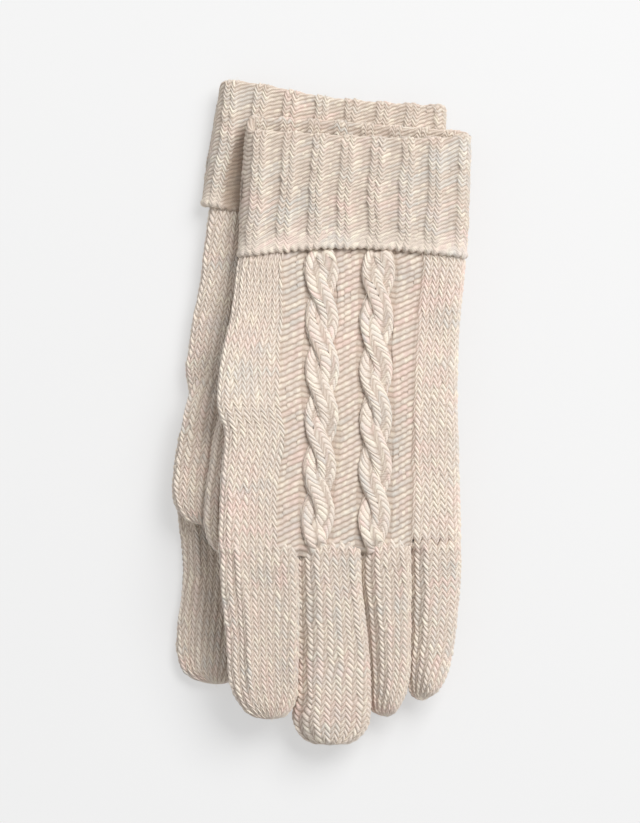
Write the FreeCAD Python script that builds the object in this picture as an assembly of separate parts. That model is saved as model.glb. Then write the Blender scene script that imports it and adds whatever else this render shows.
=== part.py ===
# A pair of full-fingered cable-knit gloves, laid flat one on the other.
#
# Frame: millimetres, +Z up, the gloves lie on the plane z = 0 with their
# cuffs towards +Y and their fingertips towards -Y.  The origin is the middle
# of the pair's footprint, on that plane.
#
# The right-hand glove lies underneath, palm up, with its cables against the
# table and its thumb folded over its palm.  The left-hand glove lies on it,
# palm down, with its cables on top and its thumb folded under its palm.  So
# both thumbs are between the two palms, and the upper hand slopes down from
# the thumb side to the little-finger side.
#
# Every section of knitting is a flattened tube with a real wall and a real
# inside: open at the wrist, open where the hand meets the fingers, closed at
# the fingertips.
import FreeCAD, Part
import math
import os
from FreeCAD import Vector as V

# ---------------------------------------------------------------- dimensions
WALL_HAND = 1.2          # thickness of the stockinette
WALL_BAND = 1.4          # thickness of one layer of rib
WALL_TURN = 1.6          # thickness of the turned-back layer of rib
WALL_FING = 1.1
LAYER_GAP = 0.2          # between the two layers of the cuff
CLEAR = 0.3              # between the two gloves, and hand to thumb

T_HAND_R = 7.4           # flattened thickness of the lower hand
T_HAND_L = 8.0           # flattened thickness of the upper hand
T_CUFF = 11.0            # both cuff layers, front and back, with the inside
T_FING_R = 7.0           # lower fingers
T_FING_L = 8.0           # upper fingers
T_THUMB = 6.6            # both thumbs
FOOT = 0.05              # taken off the lower cuff's underside, to make it level
T_CABLE = 1.6            # how far a cable stands up from the back of the hand

# Outline of one glove, seen from above, shared by both (the right-hand glove
# is the left-hand one mirrored in z, turned and shifted as below).
CUFF_TOP = ((-30.3, 114.3), (58.2, 109.0))      # folded edge, left and right
CUFF_BOT = ((-33.8, 61.4), (56.7, 61.4))        # cast-on edge of the turn-back
WRIST_Y = 61.0
KNUCKLE_Y = -49.6                                # end of the hand
HAND = [                                         # y, x left, x right
    (WRIST_Y, -32.0, 54.9),
    (38.8, -35.8, 53.9),
    (20.9, -39.7, 52.9),
    (2.9, -41.2, 52.7),
    (-9.5, -37.9, 53.1),
    (-25.5, -39.7, 53.5),
    (KNUCKLE_Y, -40.5, 54.1),
]
CABLE_X = [(-7.2, 7.0), (14.6, 29.4)]            # at the wrist: left, right
CABLE_SHIFT = -2.6                               # sideways run, wrist to knuckle

HINGE_Y = -54.1                                  # fold line of the upper fingers
ROOT_Y_R = -50.0                                 # finger roots, lower glove
# name: (tip y, [(y, x left, x right), ...]) from root to tip
FINGERS = {
    "index_finger": (-120.4, [(-53.8, -40.4, -9.90), (-80.0, -38.6, -9.90),
                              (-104.7, -36.8, -9.90), (-112.0, -33.6, -11.0),
                              (-117.5, -27.5, -15.5), (-120.4, -23.2, -19.0)]),
    "middle_finger": (-130.4, [(-53.8, -9.45, 14.30), (-64.0, -9.45, 14.35),
                               (-98.0, -9.45, 18.20), (-118.0, -9.45, 19.00),
                               (-124.5, -7.6, 16.8), (-128.6, -3.6, 12.0),
                               (-130.4, 0.2, 8.6)]),
    "ring_finger": (-119.2, [(-53.8, 14.75, 33.85), (-64.0, 14.80, 33.85),
                             (-98.0, 18.65, 33.85), (-110.0, 19.45, 33.85),
                             (-115.5, 20.0, 31.8), (-118.2, 21.4, 28.4),
                             (-119.2, 22.8, 26.4)]),
    "little_finger": (-112.6, [(-53.8, 34.30, 54.1), (-80.5, 34.30, 52.7),
                               (-96.0, 34.30, 51.0), (-104.5, 34.9, 48.4),
                               (-110.0, 36.6, 44.6), (-112.6, 38.8, 42.0)]),
}
# droop of the upper fingers below level, degrees
DROOP = {"index_finger": 10.5, "middle_finger": 8.5,
         "ring_finger": 7.0, "little_finger": 5.0}
# thumb, from its root to its tip
THUMB = [(-0.2, -38.6, -20.2), (-9.6, -42.4, -20.4), (-25.0, -45.0, -21.2),
         (-43.0, -46.3, -22.8), (-50.0, -44.4, -24.4), (-55.0, -40.0, -27.6),
         (-57.4, -36.2, -31.4)]
THUMB_SHIFT_R = (5.0, -2.5)                      # the lower thumb lies a little off

ROLL = 8.0                                       # slope of the upper hand, degrees

# The lower glove: turned about z, then moved.
R_TURN = -2.75
R_FROM = V(-30.3, 115.2, 0)
R_TO = V(-40.1, 130.5, 0)

# ------------------------------------------------------------- heights (z)
Z_HAND_R = T_CABLE + 0.05 + T_HAND_R / 2         # middle of the lower hand
Z_CUFF_R = T_CUFF / 2
Z_FING_R = 0.1 + T_FING_R / 2
Z_THUMB_R = Z_HAND_R + T_HAND_R / 2 + CLEAR + T_THUMB / 2
Z_THUMB_L = Z_THUMB_R + T_THUMB + CLEAR
Z_CUFF_L = T_CUFF + CLEAR + T_CUFF / 2
SLOPE = math.tan(math.radians(ROLL))
X_PROP = -20.2                                   # inner edge of the upper thumb
Z_PROP = Z_THUMB_L + T_THUMB / 2 + CLEAR + T_HAND_L / 2 / math.cos(math.radians(ROLL))


def z_upper(x, y):
    """Mid height of the upper hand: level at the wrist, sloping at the thumb."""
    k = min(1.0, max(0.0, (WRIST_Y - y) / (WRIST_Y - 2.9)))
    return (1 - k) * Z_CUFF_L + k * (Z_PROP - SLOPE * (x - X_PROP))


# ------------------------------------------------------------------- shapes
def stadium(pl, pr, t):
    """Flattened ring of fabric: two straight runs joined by half rounds."""
    d = (pr - pl).normalize()
    n = (V(0, 0, 1) - d * d.z).normalize()
    r = t / 2.0
    a, b = pl + d * r, pr - d * r
    return Part.Wire([
        Part.LineSegment(a + n * r, b + n * r).toShape(),
        Part.Arc(b + n * r, pr, b - n * r).toShape(),
        Part.LineSegment(b - n * r, a - n * r).toShape(),
        Part.Arc(a - n * r, pl, a + n * r).toShape()])


def inset(sec, wall):
    pl, pr, t = sec
    d = (pr - pl).normalize()
    return (pl + d * wall, pr - d * wall, t - 2 * wall)


def moved(sec, v):
    return (sec[0] + v, sec[1] + v, sec[2])


def loft(secs):
    s = Part.makeLoft([stadium(*s) for s in secs], True, True)
    if s.ShapeType != "Solid":
        s = s.Solids[0]
    if s.Volume < 0:
        s.reverse()
    return s


def along(a, b, length):
    v = (b[0] + b[1]) * 0.5 - (a[0] + a[1]) * 0.5
    return v.normalize() * length


def sleeve(secs, wall):
    """Tube open at both ends."""
    ins = [inset(s, wall) for s in secs]
    ins = ([moved(ins[0], along(secs[1], secs[0], 3.0))] + ins +
           [moved(ins[-1], along(secs[-2], secs[-1], 3.0))])
    return loft(secs).cut(loft(ins))


def flat(y, xl, xr, z, t):
    return (V(xl, y, z), V(xr, y, z), t)


def tip_profile(rows, t, tip_y):
    """Thickness of a closed fingertip, thinning over its last 9 mm."""
    out = []
    for y, xl, xr in rows:
        left = y - tip_y
        f = 1.0 if left >= 9 else math.sqrt(max(0.0, 1 - ((9 - left) / 9.0) ** 2))
        out.append((y, xl, xr, max(2.4, t * f)))
    return out


def closed_tube(rows, t, tip_y, z, wall, round_root):
    """Finger: open at its root, closed at its tip, along -y."""
    prof = tip_profile(rows, t, tip_y)
    secs = [flat(y, xl, xr, z, tt) for y, xl, xr, tt in prof]
    body = loft(secs)
    root = secs[0]
    if round_root:
        # half-round root about the fold line, so that it turns in place
        pl, pr, tt = root
        r = tt / 2.0
        d = V(1, 0, 0)
        a, b = pl + d * r, pr - d * r
        up = V(0, 0, r)
        c = math.sqrt(0.5) * r
        w = Part.Wire([
            Part.Arc(pl, a + V(-c, 0, c), a + up).toShape(),
            Part.LineSegment(a + up, b + up).toShape(),
            Part.Arc(b + up, b + V(c, 0, c), pr).toShape(),
            Part.LineSegment(pr, pl).toShape()])
        cap = Part.Face(w).revolve(pl, V(-1, 0, 0), 180)
        if cap.Volume < 0:
            cap.reverse()
        body = body.fuse(cap).removeSplitter()
    full = [s for s, p in zip(secs, prof) if p[3] >= t - 0.01]
    ins = [inset(s, wall) for s in full]
    # the inside narrows into the tip
    last = prof[len(full)]
    y_end = min(prof[len(full) - 1][0] - 2.0, tip_y + 4.5)
    xl = max(full[-1][0].x, last[1]) + wall + 2.6
    xr = min(full[-1][1].x, last[2]) - wall - 2.6
    ins.append(flat(y_end, xl, xr, z, max(2.0, t - 2 * wall - 2.0)))
    ins = [moved(ins[0], V(0, 8.0, 0))] + ins
    return body.cut(loft(ins))


def cable_strip(xa, xb, zfun, side, t_hand):
    """Raised band on the back of the hand, 0.05 mm off the fabric."""
    ys = [WRIST_Y - 0.6, 38.8, 20.9, 2.9, -25.5, KNUCKLE_Y + 0.6]
    wires = []
    for y in ys:
        k = (WRIST_Y - y) / (WRIST_Y - KNUCKLE_Y)
        sh = CABLE_SHIFT * k
        z0 = t_hand / 2 + 0.05
        z1 = z0 + T_CABLE
        pts = []
        for x, z in ((xa, z0), (xb, z0), (xb - 1.2, z1), (xa + 1.2, z1)):
            h = zfun(x + sh, y)
            # thickness is measured square to the slope
            g = (zfun(x + sh + 1, y) - zfun(x + sh - 1, y)) / 2.0
            pts.append(V(x + sh, y, h + side * z * math.sqrt(1 + g * g)))
        wires.append(Part.makePolygon(pts + [pts[0]]))
    s = Part.makeLoft(wires, True, True)
    s = s.Solids[0] if s.ShapeType != "Solid" else s
    if s.Volume < 0:
        s.reverse()
    return s


def cuff(z):
    """Inner band and turned-back layer of one cuff, both at height z."""
    lo = (V(*CUFF_BOT[0], z), V(*CUFF_BOT[1], z), T_CUFF)
    hi = (V(*CUFF_TOP[0], z), V(*CUFF_TOP[1], z), T_CUFF)
    step = WALL_TURN + LAYER_GAP
    back = along(hi, lo, WALL_TURN)

    def ins(s, w):
        return inset(s, w)
    # band: from the wrist to just inside the fold
    b_lo, b_hi = ins(lo, step), moved(ins(hi, step), back)
    band = sleeve([b_lo, b_hi], WALL_BAND)
    # turn-back: outer layer, closed over the band's end by the fold
    outer = loft([lo, hi])
    void = loft([moved(ins(lo, WALL_TURN), along(hi, lo, 3.0)), ins(lo, WALL_TURN),
                 moved(ins(hi, WALL_TURN), back + along(lo, hi, 0.02))])
    mouth_lo = moved(ins(hi, step + WALL_BAND), along(hi, lo, 6.0))
    mouth_hi = moved(ins(hi, step + WALL_BAND), along(lo, hi, 3.0))
    turn = outer.cut(void).cut(loft([mouth_lo, mouth_hi]))
    return band, turn


def place_r(s):
    s = s.copy()
    s.translate(V(0, 0, 0) - R_FROM)
    s.rotate(V(0, 0, 0), V(0, 0, 1), R_TURN)
    s.translate(R_TO)
    return s


parts = {}

# ------------------------------------------------ right-hand glove, underneath
parts["right_hand"] = place_r(sleeve(
    [flat(y, xl, xr, Z_HAND_R, T_HAND_R) for y, xl, xr in HAND], WALL_HAND))
band, turn = cuff(Z_CUFF_R - FOOT)
# the face it lies on is one plane
turn = turn.cut(Part.makeBox(400, 400, 10, V(-200, -200, -10)))
parts["right_cuff_band"] = place_r(band)
parts["right_cuff_turnback"] = place_r(turn)
for name, (xa, xb) in zip(("thumb_side", "little_side"), CABLE_X):
    parts["right_cable_" + name] = place_r(cable_strip(
        xa, xb, lambda x, y: Z_HAND_R, -1, T_HAND_R))
tx, ty = THUMB_SHIFT_R
rows = [(y + ty, xl + tx, xr + tx) for y, xl, xr in THUMB]
parts["right_thumb"] = place_r(closed_tube(
    rows, T_THUMB, rows[-1][0], Z_THUMB_R, WALL_FING, False))
for name, (tip, rows) in FINGERS.items():
    rows = [(ROOT_Y_R, rows[0][1], rows[0][2])] + rows[1:]
    parts["right_" + name] = place_r(closed_tube(
        rows, T_FING_R, tip, Z_FING_R, WALL_FING, False))

# ---------------------------------------------------- left-hand glove, on top
secs = []
for y, xl, xr in HAND:
    secs.append((V(xl, y, z_upper(xl, y)), V(xr, y, z_upper(xr, y)), T_HAND_L))
parts["left_hand"] = sleeve(secs, WALL_HAND)
band, turn = cuff(Z_CUFF_L)
parts["left_cuff_band"] = band
parts["left_cuff_turnback"] = turn
for name, (xa, xb) in zip(("thumb_side", "little_side"), CABLE_X):
    parts["left_cable_" + name] = cable_strip(xa, xb, z_upper, 1, T_HAND_L)
parts["left_thumb"] = closed_tube(
    THUMB, T_THUMB, THUMB[-1][0], Z_THUMB_L, WALL_FING, False)

# The upper fingers share one fold line, which follows the slope of the hand.
c, s = math.cos(math.radians(ROLL)), math.sin(math.radians(ROLL))
AXIS = V(c, 0, -s)
ORIGIN = V(0, HINGE_Y, z_upper(0, HINGE_Y))
for name, (tip, rows) in FINGERS.items():
    p = math.radians(DROOP[name])
    rows = [(HINGE_Y, rows[0][1], rows[0][2])] + rows[1:]
    local = [((y - HINGE_Y) / math.cos(p), xl / c, xr / c) for y, xl, xr in rows]
    f = closed_tube(local, T_FING_L, local[-1][0], 0.0, WALL_FING, True)
    # local x along the fold line, local -y out along the drooping finger
    level_n = V(s, 0, c)
    e = V(0, 1, 0) * math.cos(p) + level_n * math.sin(p)
    n = AXIS.cross(e)
    m = FreeCAD.Matrix(AXIS.x, e.x, n.x, ORIGIN.x,
                       AXIS.y, e.y, n.y, ORIGIN.y,
                       AXIS.z, e.z, n.z, ORIGIN.z,
                       0, 0, 0, 1)
    f.Placement = FreeCAD.Placement(m).multiply(f.Placement)
    parts["left_" + name] = f

# ---------------------------------------------------------- centre and write
box = FreeCAD.BoundBox()
for sh in parts.values():
    box.add(sh.optimalBoundingBox(False, False))
SHIFT = V(-(box.XMin + box.XMax) / 2, -(box.YMin + box.YMax) / 2, -box.ZMin)
os.makedirs("parts", exist_ok=True)
for name, sh in parts.items():
    sh = sh.copy()
    sh.translate(SHIFT)
    if sh.ShapeType != "Solid" and len(sh.Solids) == 1:
        sh = sh.Solids[0]
    sh.exportStep("parts/%s.step" % name)
    print("%-24s solids %d valid %s volume %8.1f" % (
        name, len(sh.Solids), sh.isValid(), sh.Volume))
print("shift", SHIFT)
print("box", box.XLength, box.YLength, box.ZLength)
print("fold line through", ORIGIN + SHIFT, "along", AXIS)


def pr(x, y):
    q = V(x, y, 0) - R_FROM
    a = math.radians(R_TURN)
    q = V(q.x * math.cos(a) - q.y * math.sin(a), q.x * math.sin(a) + q.y * math.cos(a), 0)
    return q + R_TO + SHIFT


print("right roots", {k: (pr(v[1][0][1], ROOT_Y_R), pr(v[1][0][2], ROOT_Y_R))
                      for k, v in FINGERS.items()})
print("thumb pivots", V(-38, -3, Z_THUMB_L) + SHIFT, pr(-38 + tx, -3 + ty))
print("z: hand R %.2f thumb R %.2f thumb L %.2f cuff L %.2f hand L at prop %.2f" % (
    Z_HAND_R, Z_THUMB_R, Z_THUMB_L, Z_CUFF_L, Z_PROP))
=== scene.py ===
# A pair of full-fingered cable-knit gloves, knitted stitch by stitch as displaced
# meshes around the CAD frame.  Lengths in the helpers below are millimetres in
# the glove's own plan; make_object() turns them into metres.
import bpy
import math
import numpy as np
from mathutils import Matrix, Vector


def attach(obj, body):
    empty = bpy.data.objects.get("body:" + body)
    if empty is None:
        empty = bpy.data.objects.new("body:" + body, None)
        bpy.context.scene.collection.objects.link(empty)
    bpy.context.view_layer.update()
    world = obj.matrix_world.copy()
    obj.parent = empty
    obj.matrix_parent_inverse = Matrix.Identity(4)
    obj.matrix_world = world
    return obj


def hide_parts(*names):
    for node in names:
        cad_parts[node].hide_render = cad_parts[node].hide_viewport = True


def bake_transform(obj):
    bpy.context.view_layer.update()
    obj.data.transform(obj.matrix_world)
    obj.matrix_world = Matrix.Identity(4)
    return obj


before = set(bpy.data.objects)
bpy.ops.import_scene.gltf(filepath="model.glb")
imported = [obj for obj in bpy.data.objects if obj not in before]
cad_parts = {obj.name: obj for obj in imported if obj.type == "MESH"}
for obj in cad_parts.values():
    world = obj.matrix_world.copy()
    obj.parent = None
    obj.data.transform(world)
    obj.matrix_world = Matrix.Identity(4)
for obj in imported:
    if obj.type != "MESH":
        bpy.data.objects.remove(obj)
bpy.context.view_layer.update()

MM = 0.001
# The plan (px of a 640 x 823 view, 0.39 mm each) is centred like the CAD.
SHIFT = np.array([0.2987, 0.4882, 0.0])
R_TURN = math.radians(-2.75)
R_FROM = np.array([-30.3, 115.2])
R_TO = np.array([-40.1, 130.5])
ROLL = math.tan(math.radians(8.0))
Z_CUFF_L, Z_CUFF_R = 16.8, 5.45
Z_HAND_R = 5.35
WRIST_Y, HINGE_Y = 61.0, -54.1


def X(px):
    return (np.asarray(px, float) - 322.75) * 0.39


def Y(py):
    return (411.5 - np.asarray(py, float)) * 0.39


# ------------------------------------------------------------------ helpers
def smooth(t):
    t = np.clip(t, 0.0, 1.0)
    return t * t * (3 - 2 * t)


def _hash(i, j, seed):
    h = (i.astype(np.int64) * 374761393 + j.astype(np.int64) * 668265263
         + seed * 974634777) & 0xFFFFFFFF
    h = ((h ^ (h >> 13)) * 1274126177) & 0xFFFFFFFF
    h = ((h ^ (h >> 15)) * 2246822519) & 0xFFFFFFFF
    return ((h ^ (h >> 16)) & 0xFFFFFF) / float(0x1000000)


def noise(x, y, seed=0):
    """Smooth value noise, -1 to 1."""
    x, y = np.broadcast_arrays(np.asarray(x, float), np.asarray(y, float))
    i, j = np.floor(x), np.floor(y)
    fx, fy = smooth(x - i), smooth(y - j)
    a = _hash(i, j, seed) * (1 - fx) + _hash(i + 1, j, seed) * fx
    b = _hash(i, j + 1, seed) * (1 - fx) + _hash(i + 1, j + 1, seed) * fx
    return (a * (1 - fy) + b * fy) * 2 - 1


def curve(y, ys, xs):
    """Smooth monotone-ish interpolation through (ys, xs); ys fall from root to tip."""
    ys, xs = np.asarray(ys, float)[::-1], np.asarray(xs, float)[::-1]
    d = np.diff(xs) / np.diff(ys)
    m = np.empty_like(xs)
    m[1:-1] = np.where(d[1:] * d[:-1] > 0, 2 * d[1:] * d[:-1] / (d[1:] + d[:-1] + 1e-12), 0)
    m[0], m[-1] = d[0], d[-1]
    y = np.clip(y, ys[0], ys[-1])
    k = np.clip(np.searchsorted(ys, y) - 1, 0, len(ys) - 2)
    h = ys[k + 1] - ys[k]
    t = (y - ys[k]) / h
    return ((2 * t ** 3 - 3 * t ** 2 + 1) * xs[k] + (t ** 3 - 2 * t ** 2 + t) * h * m[k]
            + (-2 * t ** 3 + 3 * t ** 2) * xs[k + 1] + (t ** 3 - t ** 2) * h * m[k + 1])


class Surf:
    """A smooth base surface: a table of points over ring position w (0 to 2, top
    then bottom, closed) and length v (0 to 1)."""

    def __init__(self, P, closed=True, sign=1.0):
        self.P, self.closed, self.sign = P, closed, sign
        dv = np.gradient(P, axis=0)
        if closed:
            Q = np.concatenate([P[:, -2:-1], P, P[:, 1:2]], axis=1)
            dw = (Q[:, 2:] - Q[:, :-2]) / 2
        else:
            dw = np.gradient(P, axis=1)
        n = np.cross(dv, dw)
        n /= np.maximum(np.linalg.norm(n, axis=2, keepdims=True), 1e-9)
        self.N = n * sign

    def at(self, w, v):
        kv, kw = self.P.shape[0] - 1, self.P.shape[1] - 1
        a = np.clip(v, 0, 1) * kv
        b = (np.mod(w, 2.0) if self.closed else np.clip(w, 0, 2)) / 2.0 * kw
        i = np.clip(np.floor(a).astype(int), 0, kv - 1)
        j = np.clip(np.floor(b).astype(int), 0, kw - 1)
        fa, fb = (a - i)[..., None], (b - j)[..., None]

        def mix(T):
            return ((T[i, j] * (1 - fb) + T[i, j + 1] * fb) * (1 - fa)
                    + (T[i + 1, j] * (1 - fb) + T[i + 1, j + 1] * fb) * fa)
        n = mix(self.N)
        n /= np.maximum(np.linalg.norm(n, axis=-1, keepdims=True), 1e-9)
        return mix(self.P), n


def ring(xl, xr, t_top, t_bot, half=120):
    """One flattened ring from its left fold over the top to the right fold and
    back underneath: offsets (x, h) at equal steps of arc length."""
    a, xc = max((xr - xl) / 2, 0.05), (xl + xr) / 2
    k = np.linspace(0, 1, 500)
    xi = -np.cos(np.pi * k)
    out = []
    for t, sign in ((t_top, 1), (t_bot, -1)):
        t = max(t, 0.03)
        m = max(2.0, 2 * a / t)
        h = t * np.sqrt(np.maximum(0, 1 - np.abs(xi) ** m)) * (1 + 0.06 * (1 - xi ** 2))
        x = xc + a * xi
        s = np.concatenate([[0], np.cumsum(np.hypot(np.diff(x), np.diff(h)))])
        q = np.linspace(0, s[-1], half + 1)
        xx, hh = np.interp(q, s, x), np.interp(q, s, h)
        if sign > 0:
            out.append((xx, hh))
        else:
            out.append((xx[::-1], -hh[::-1]))
    return (np.concatenate([out[0][0], out[1][0][1:]]),
            np.concatenate([out[0][1], out[1][1][1:]]))


def make_object(name, P, quads, tris=None, attrs=None, uv=None, side="left", mat=None):
    """P in glove millimetres.  Turns and places the right-hand glove."""
    P = P.reshape(-1, 3).copy()
    if side == "right":
        q = P[:, :2] - R_FROM
        c, s = math.cos(R_TURN), math.sin(R_TURN)
        P[:, :2] = np.stack([q[:, 0] * c - q[:, 1] * s, q[:, 0] * s + q[:, 1] * c], 1) + R_TO
    # stitches that rest on the table are pressed flat
    z = P[:, 2]
    P[:, 2] = np.where(z < 0.45, 0.45 - 0.4 * (1 - np.exp((np.minimum(z, 0.45) - 0.45) / 0.4)), z)
    P = (P + SHIFT) * MM
    tris = np.zeros((0, 3), int) if tris is None else tris
    me = bpy.data.meshes.new(name)
    me.vertices.add(len(P))
    me.vertices.foreach_set("co", P.astype(np.float32).ravel())
    loops = np.concatenate([quads.ravel(), tris.ravel()]).astype(np.int32)
    starts = np.concatenate([np.arange(len(quads)) * 4,
                             len(quads) * 4 + np.arange(len(tris)) * 3]).astype(np.int32)
    me.loops.add(len(loops))
    me.loops.foreach_set("vertex_index", loops)
    me.polygons.add(len(starts))
    me.polygons.foreach_set("loop_start", starts)
    me.polygons.foreach_set("use_smooth", np.ones(len(starts), bool))
    me.update(calc_edges=True)
    for key, (kind, data) in (attrs or {}).items():
        at = me.attributes.new(key, kind, "POINT")
        at.data.foreach_set("value" if kind == "FLOAT" else "vector",
                            data.reshape(-1).astype(np.float32))
    if uv is not None:
        layer = me.uv_layers.new(name="OFBake")
        layer.data.foreach_set("uv", uv.astype(np.float32).ravel())
    me.validate(verbose=False)
    ob = bpy.data.objects.new(name, me)
    bpy.context.collection.objects.link(ob)
    if mat is not None:
        me.materials.append(mat)
    return ob


# ----------------------------------------------------------------- stitches
PHI = np.array([0.0, 0.10, 0.27, 0.5, 0.73, 0.90])


def knit(surf, cols, wb, rows, v0, v1, slope=1.3, amp=1.25, segs=8, seed=1,
         rib=0.0, relief=None, fade=(0.0, 0.0), closed=False, phis=PHI, tilt=None,
         jitter=1.0, weak=0.80, lean=0.07, painted_shade=None, knots=None, sink=(0.0, 0.0), flip=False, free=(False, False)):
    """Builds a stitched sheet on surf.

    cols is a string of column types, K knit, P purl, C ground under a cable; wb
    holds their boundaries in ring position, or one such list for each of knots
    (positions in v).  Each column's rows are sheared so that the mesh runs along
    the legs of the stitches.  Knitting runs from v0 to v1, so the legs meet
    towards v0.  tilt gives the rows each column type climbs by across its width."""
    n = len(cols)
    wb = np.atleast_2d(np.asarray(wb, float))
    knots = np.array([v0]) if knots is None else np.asarray(knots, float)
    ci = np.repeat(np.arange(n), segs)
    a = np.tile(np.arange(segs) / segs, n)
    if not closed:
        ci, a = np.append(ci, n - 1), np.append(a, 1.0)
    typ = np.array([ord(c) for c in cols])[ci]
    isK, isP = typ == ord("K"), typ == ord("P")
    # the two legs of a stitch are not quite alike: the apex sits a little aside
    mid = 0.5 - lean * (-1 if flip else 1)
    t = np.where(a < mid, (mid - a) / mid, (a - mid) / (1 - mid))
    t = np.where(isK, t, np.abs(2 * a - 1))
    step = dict(tilt or {})
    inc = np.array([step.get(c, 0.0) for c in cols])
    base = np.concatenate([[0], np.cumsum(inc)])
    off = base[ci] + a * inc[ci]
    off = off - off.mean()
    bend = 0.05 * np.sign(step.get("P", -1.0))
    shear = np.where(isK, slope * t, np.where(isP, slope + bend * np.sin(2 * np.pi * a), slope)) + off
    r = (np.arange(rows)[:, None] + phis[None, :]).ravel()
    r = np.append(r, float(rows))
    phi = np.tile(phis, rows)
    phi = np.append(phi, 0.0)
    rk = np.append(np.repeat(np.arange(rows), len(phis)), rows - 1)
    R = np.repeat(r[:, None], len(ci), 1)
    ends = np.ones_like(R)
    if not free[0]:
        ends = np.minimum(ends, R / 1.6)
    if not free[1]:
        ends = np.minimum(ends, (rows - R) / 1.6)
    ends = np.clip(ends, 0, 1)
    # column boundaries at each row
    vr = v0 + (v1 - v0) * R[:, :1] / rows
    if len(wb) > 1:
        WB = np.stack([np.interp(vr[:, 0], knots, wb[:, k]) for k in range(n + 1)], 1)
    else:
        WB = np.repeat(wb, len(r), 0)
    W = WB[:, ci] + a[None, :] * (WB[:, ci + 1] - WB[:, ci])
    wl = W[:1]
    wob = jitter * (0.11 * noise(wl * 9 + 3, R * 0.55, seed + 3)
                    + 0.20 * noise(wl * 2.5, R * 0.16, seed + 4)) * ends
    rr = R + (shear[None, :] - slope / 2) * ends + wob
    v = v0 + (v1 - v0) * np.clip(rr / rows, -1e9 if free[0] else 0, 1e9 if free[1] else 1)
    cell = abs(WB[0, -1] - WB[0, 0]) / n
    side = jitter * 0.15 * cell * noise(ci[None, :] * 0.9 + 11, R * 0.7, seed + 9)
    side = side + jitter * 0.30 * cell * noise(ci[None, :] * 0.23 + 5, R * 0.11, seed + 10)
    hold = 1 if closed else np.clip(np.minimum(ci + a, n - ci - a), 0, 1)[None, :]
    W = W + side * ends * hold
    P, N = surf.at(W, v)

    ph = phi[:, None] ** 0.92
    prof = np.maximum(0, 1 - np.abs(2 * ph - 1) ** 2.0) ** 0.85
    leg = np.sin(np.pi * np.clip(0.05 + 0.885 * t, 0, 1)) ** 0.66
    leg = leg * np.where((a < mid) != flip, weak, 1.0)
    hK = leg[None, :] * (0.10 + 0.90 * prof)
    bump = 0.92 + 0.08 * np.cos(2 * np.pi * (a - 0.5))
    hP = (0.06 + 0.84 * prof) * bump[None, :] * 0.70
    hC = hP * 0.6
    h = np.where(isK[None, :], hK, np.where(isP[None, :], hP, hC))
    # every stitch, and every leg of it, is pulled a little tighter or looser
    half = (a > mid).astype(int)
    ri = rk[:, None] + 0 * ci[None, :]
    cj = ci[None, :] * 2 + half[None, :] + 0 * ri
    own = _hash(cj, ri, seed + 21) * 2 - 1
    h = h * (1 + np.where(isP, 0.11, 0.20)[None, :] * jitter * own)
    lift = np.zeros_like(R)
    if rib:
        # knit pairs stand up, purl pairs sink between them
        pos = ci + a
        k = np.array([1.0 if c == "K" else -1.0 for c in cols])
        if closed:
            kk = np.interp(pos, np.arange(-2, n + 2) + 0.5,
                           np.concatenate([k[-2:], k, k[:2]]))
        else:
            kk = np.interp(pos, np.arange(n) + 0.5, k)
        lift = lift + rib * np.sin(np.clip(kk, -1, 1) * np.pi / 2)[None, :]
    f = np.ones_like(R)
    if fade[0]:
        f *= smooth(R / fade[0])
    if fade[1]:
        f *= smooth((rows - R) / fade[1])
    extra = 0.0
    if relief is not None:
        extra = relief(W, v, lift)
        if isinstance(extra, tuple):
            extra, lift, soft = extra
            f = f * soft
    if sink[0]:
        extra = extra - sink[0] * (1 - smooth(R / 1.1))
    if sink[1]:
        extra = extra - sink[1] * (1 - smooth((rows + 0.2 - np.maximum(R, rr)) / 1.1))
    P = P + N * (amp * h * f + lift + extra)[..., None]
    # heather: tones that run along the yarn, so along the rows
    yarn = ri * 1.0 * n + ci[None, :] + a[None, :]
    tone = np.stack([
        0.50 * noise(yarn / 2.3, ri * 3.1, seed + 31) + 0.50 * noise(W * 9, R * 0.13, seed + 41),
        0.50 * noise(yarn / 3.1 + 7, ri * 2.7, seed + 32) + 0.50 * noise(W * 7 + 5, R * 0.17 + 3, seed + 42),
        0.62 * own + 0.38 * noise(yarn / 1.7 + 3, ri * 1.9, seed + 33)], -1)
    # depth drives the painted shade in the material: the lower it is, the darker and warmer the yarn; the callback
    # below lowers it where more shade is painted
    depth = np.clip(h * (0.35 + 0.65 * f) + 0.5 * (1 - f), 0, 1.3)
    if painted_shade is not None:
        depth = depth - painted_shade(W, v)
    U = (ci + a) / n
    uv = np.stack([0.004 + 0.992 * (U[None, :] + 0 * R), 0.004 + 0.992 * R / rows], -1)
    stitch = np.stack([ci[None, :] + a[None, :] + 0 * R, rr, 0 * R], -1)
    return dict(P=P, tone=tone, depth=depth, uv=uv, stitch=stitch, closed=closed, sign=surf.sign,
                cells=n * rows)


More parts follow.
